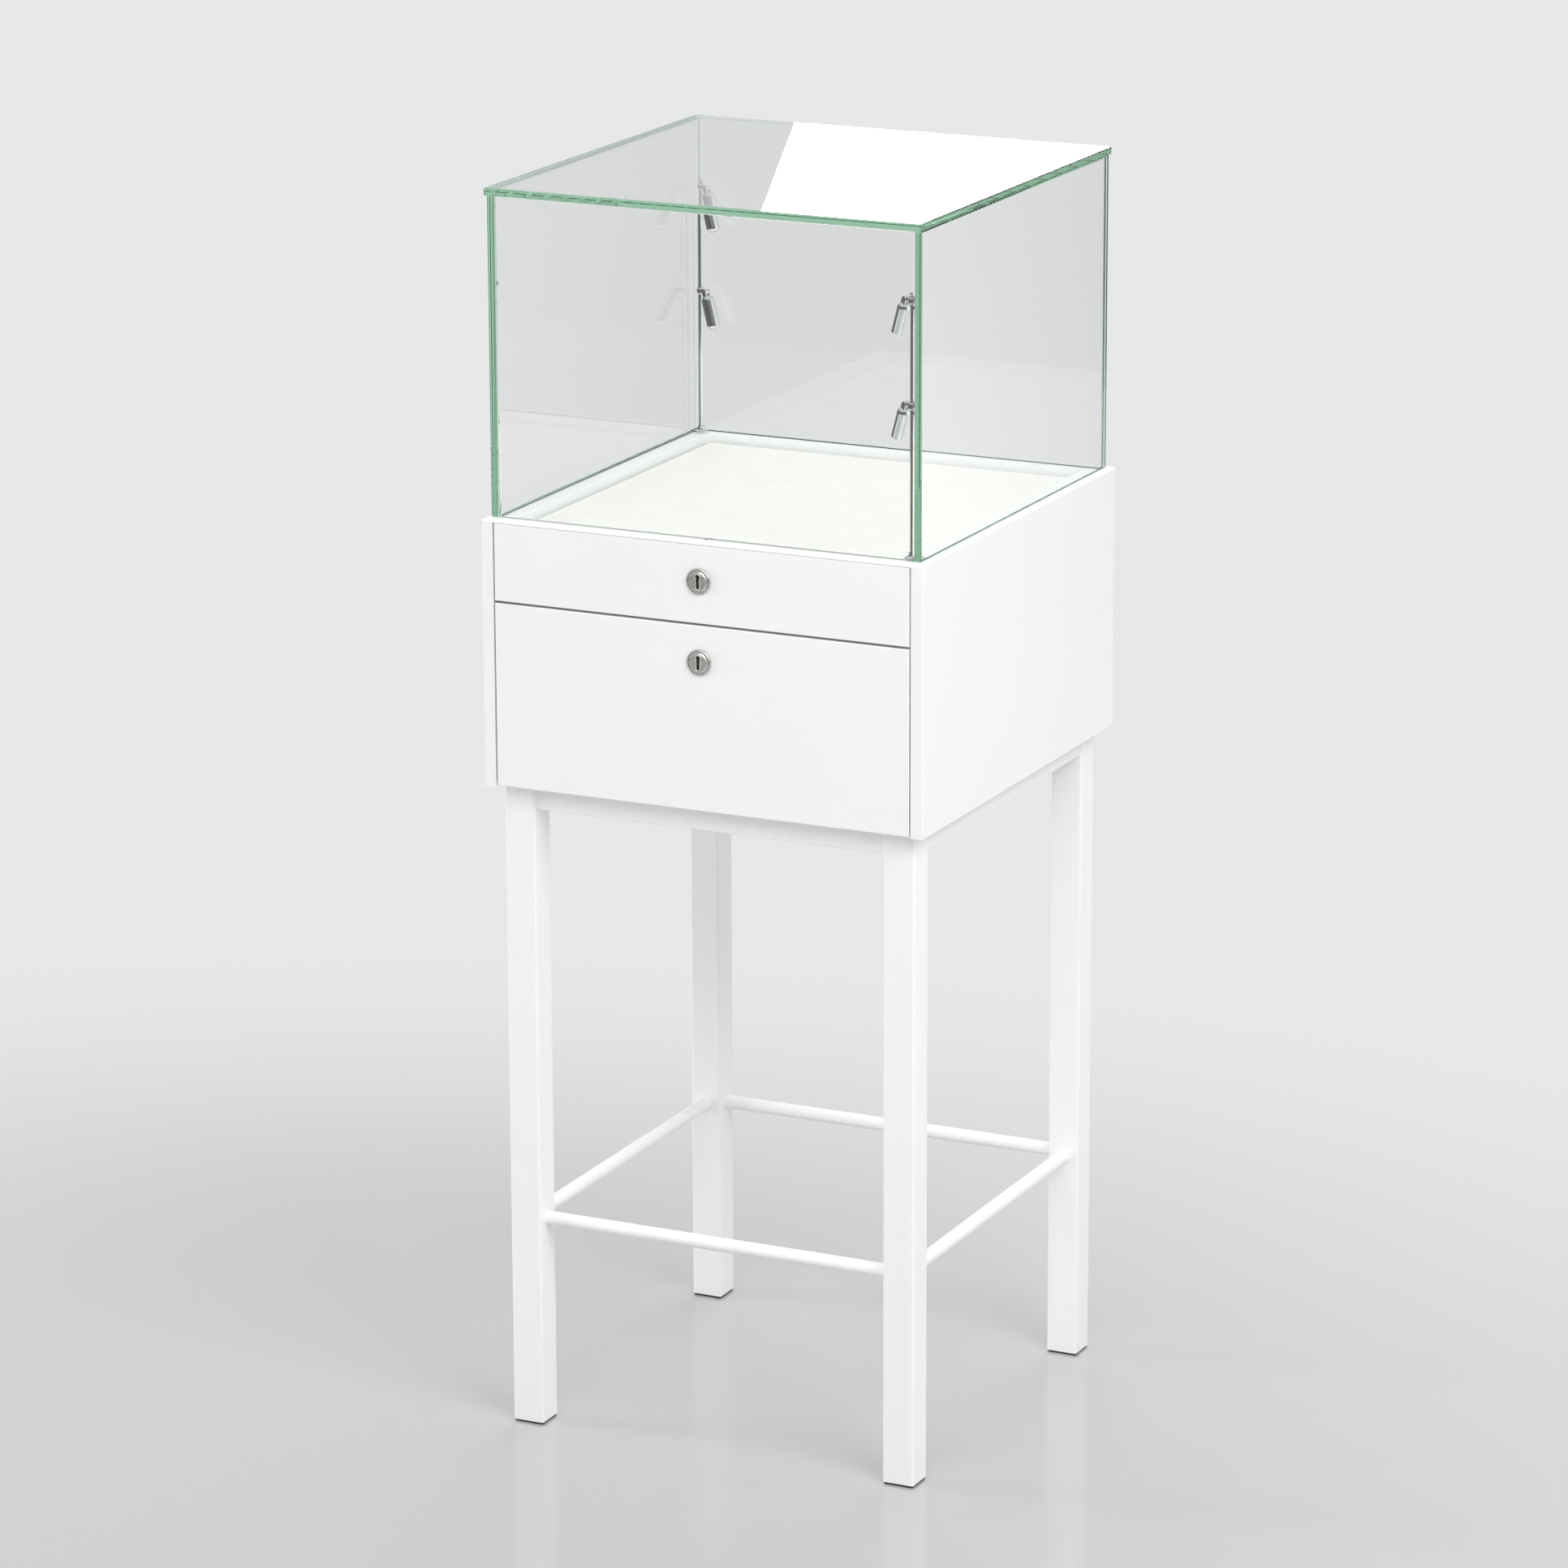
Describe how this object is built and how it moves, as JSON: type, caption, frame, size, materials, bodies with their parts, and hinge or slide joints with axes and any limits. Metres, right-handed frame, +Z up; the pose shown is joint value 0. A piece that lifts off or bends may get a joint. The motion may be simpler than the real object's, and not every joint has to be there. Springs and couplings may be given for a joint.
{
  "type": "pedestal display case",
  "caption": "Glass-hooded display case on a tall square-tube stand, with a pull-out display tray, a storage drawer, quarter-turn locks and swivelling spot lamps.",
  "frame": {"origin": "on the floor, midway across the width and midway between the faces of the locks and the back of the cabinet", "axes": "+Z up; the drawer fronts and locks face -Y; +X is to the right as seen from the front"},
  "size_m": [0.5, 0.503, 1.34],
  "materials": {
    "white_lacquer": "semi-gloss white lacquer on board",
    "white_powder_coat": "semi-gloss white powder coat",
    "clear_glass": "clear float glass with polished edges",
    "chrome": "bright chrome",
    "satin_nickel": "satin nickel plate",
    "zinc_steel": "bright zinc plate",
    "black_plastic": "matt black plastic",
    "pad_fabric": "off-white short-nap cloth"
  },
  "bodies": {
    "case": {"leg_front_left": "white_powder_coat", "leg_front_right": "white_powder_coat", "leg_back_left": "white_powder_coat", "leg_back_right": "white_powder_coat", "apron_front": "white_powder_coat", "apron_back": "white_powder_coat", "apron_left": "white_powder_coat", "apron_right": "white_powder_coat", "stretcher_front": "white_powder_coat", "stretcher_back": "white_powder_coat", "stretcher_left": "white_powder_coat", "stretcher_right": "white_powder_coat", "foot_glides": "black_plastic", "corner_plates": "white_powder_coat", "stand_bolts": "zinc_steel", "side_panel_left": "white_lacquer", "side_panel_right": "white_lacquer", "back_panel": "white_lacquer", "bottom_panel": "white_lacquer", "divider_rail": "white_lacquer", "deck_rail_left": "white_lacquer", "deck_rail_right": "white_lacquer", "deck_rail_back": "white_lacquer", "deck_lip": "white_lacquer", "glass_front": "clear_glass", "glass_back": "clear_glass", "glass_left": "clear_glass", "glass_right": "clear_glass", "glass_top": "clear_glass", "light_pole_back": "chrome", "light_pole_front": "chrome", "pole_bases": "chrome", "cabinet_runners": "zinc_steel"},
    "tray": {"tray_front": "white_lacquer", "tray_board": "white_lacquer", "tray_batten_left": "white_lacquer", "tray_batten_right": "white_lacquer", "display_pad": "pad_fabric", "tray_lock_body": "satin_nickel", "tray_runners": "zinc_steel"},
    "drawer": {"drawer_front": "white_lacquer", "drawer_side_left": "white_lacquer", "drawer_side_right": "white_lacquer", "drawer_back": "white_lacquer", "drawer_bottom": "white_lacquer", "drawer_lock_body": "satin_nickel", "drawer_runners": "zinc_steel"},
    "tray_lock": {"tray_lock_plug": "satin_nickel", "tray_lock_cam": "zinc_steel"},
    "drawer_lock": {"drawer_lock_plug": "satin_nickel", "drawer_lock_cam": "zinc_steel"},
    "collar_back_upper": {"lamp_collar_back_upper": "chrome"},
    "collar_back_lower": {"lamp_collar_back_lower": "chrome"},
    "collar_front_upper": {"lamp_collar_front_upper": "chrome"},
    "collar_front_lower": {"lamp_collar_front_lower": "chrome"},
    "head_back_upper": {"lamp_head_back_upper": "chrome"},
    "head_back_lower": {"lamp_head_back_lower": "chrome"},
    "head_front_upper": {"lamp_head_front_upper": "chrome"},
    "head_front_lower": {"lamp_head_front_lower": "chrome"}
  },
  "joints": [
    {"name": "tray_slide", "type": "slide", "parent": "case", "child": "tray", "axis": [0, -1, 0], "range_m": [0, 0.3]},
    {"name": "drawer_slide", "type": "slide", "parent": "case", "child": "drawer", "axis": [0, -1, 0], "range_m": [0, 0.3]},
    {"name": "tray_lock_turn", "type": "hinge", "parent": "tray", "child": "tray_lock", "pos_m": [0, -0.2485, 0.95392], "axis": [0, 1, 0], "range_deg": [0, 90]},
    {"name": "drawer_lock_turn", "type": "hinge", "parent": "drawer", "child": "drawer_lock", "pos_m": [0, -0.2485, 0.86872], "axis": [0, 1, 0], "range_deg": [0, 90]},
    {"name": "swivel_back_upper", "type": "hinge", "parent": "case", "child": "collar_back_upper", "pos_m": [-0.22725, 0.22475, 1.259], "axis": [0, 0, 1], "range_deg": [-61, 29]},
    {"name": "swivel_back_lower", "type": "hinge", "parent": "case", "child": "collar_back_lower", "pos_m": [-0.22725, 0.22475, 1.152], "axis": [0, 0, 1], "range_deg": [-61, 29]},
    {"name": "swivel_front_upper", "type": "hinge", "parent": "case", "child": "collar_front_upper", "pos_m": [0.22725, -0.22175, 1.259], "axis": [0, 0, 1], "range_deg": [-61, 29]},
    {"name": "swivel_front_lower", "type": "hinge", "parent": "case", "child": "collar_front_lower", "pos_m": [0.22725, -0.22175, 1.152], "axis": [0, 0, 1], "range_deg": [-61, 29]},
    {"name": "tilt_back_upper", "type": "hinge", "parent": "collar_back_upper", "child": "head_back_upper", "pos_m": [-0.21807, 0.21966, 1.259], "axis": [-0.4848, -0.8746, 0], "range_deg": [-21, 69]},
    {"name": "tilt_back_lower", "type": "hinge", "parent": "collar_back_lower", "child": "head_back_lower", "pos_m": [-0.21807, 0.21966, 1.152], "axis": [-0.4848, -0.8746, 0], "range_deg": [-21, 69]},
    {"name": "tilt_front_upper", "type": "hinge", "parent": "collar_front_upper", "child": "head_front_upper", "pos_m": [0.21807, -0.21666, 1.259], "axis": [0.4848, 0.8746, 0], "range_deg": [-21, 69]},
    {"name": "tilt_front_lower", "type": "hinge", "parent": "collar_front_lower", "child": "head_front_lower", "pos_m": [0.21807, -0.21666, 1.152], "axis": [0.4848, 0.8746, 0], "range_deg": [-21, 69]}
  ]
}
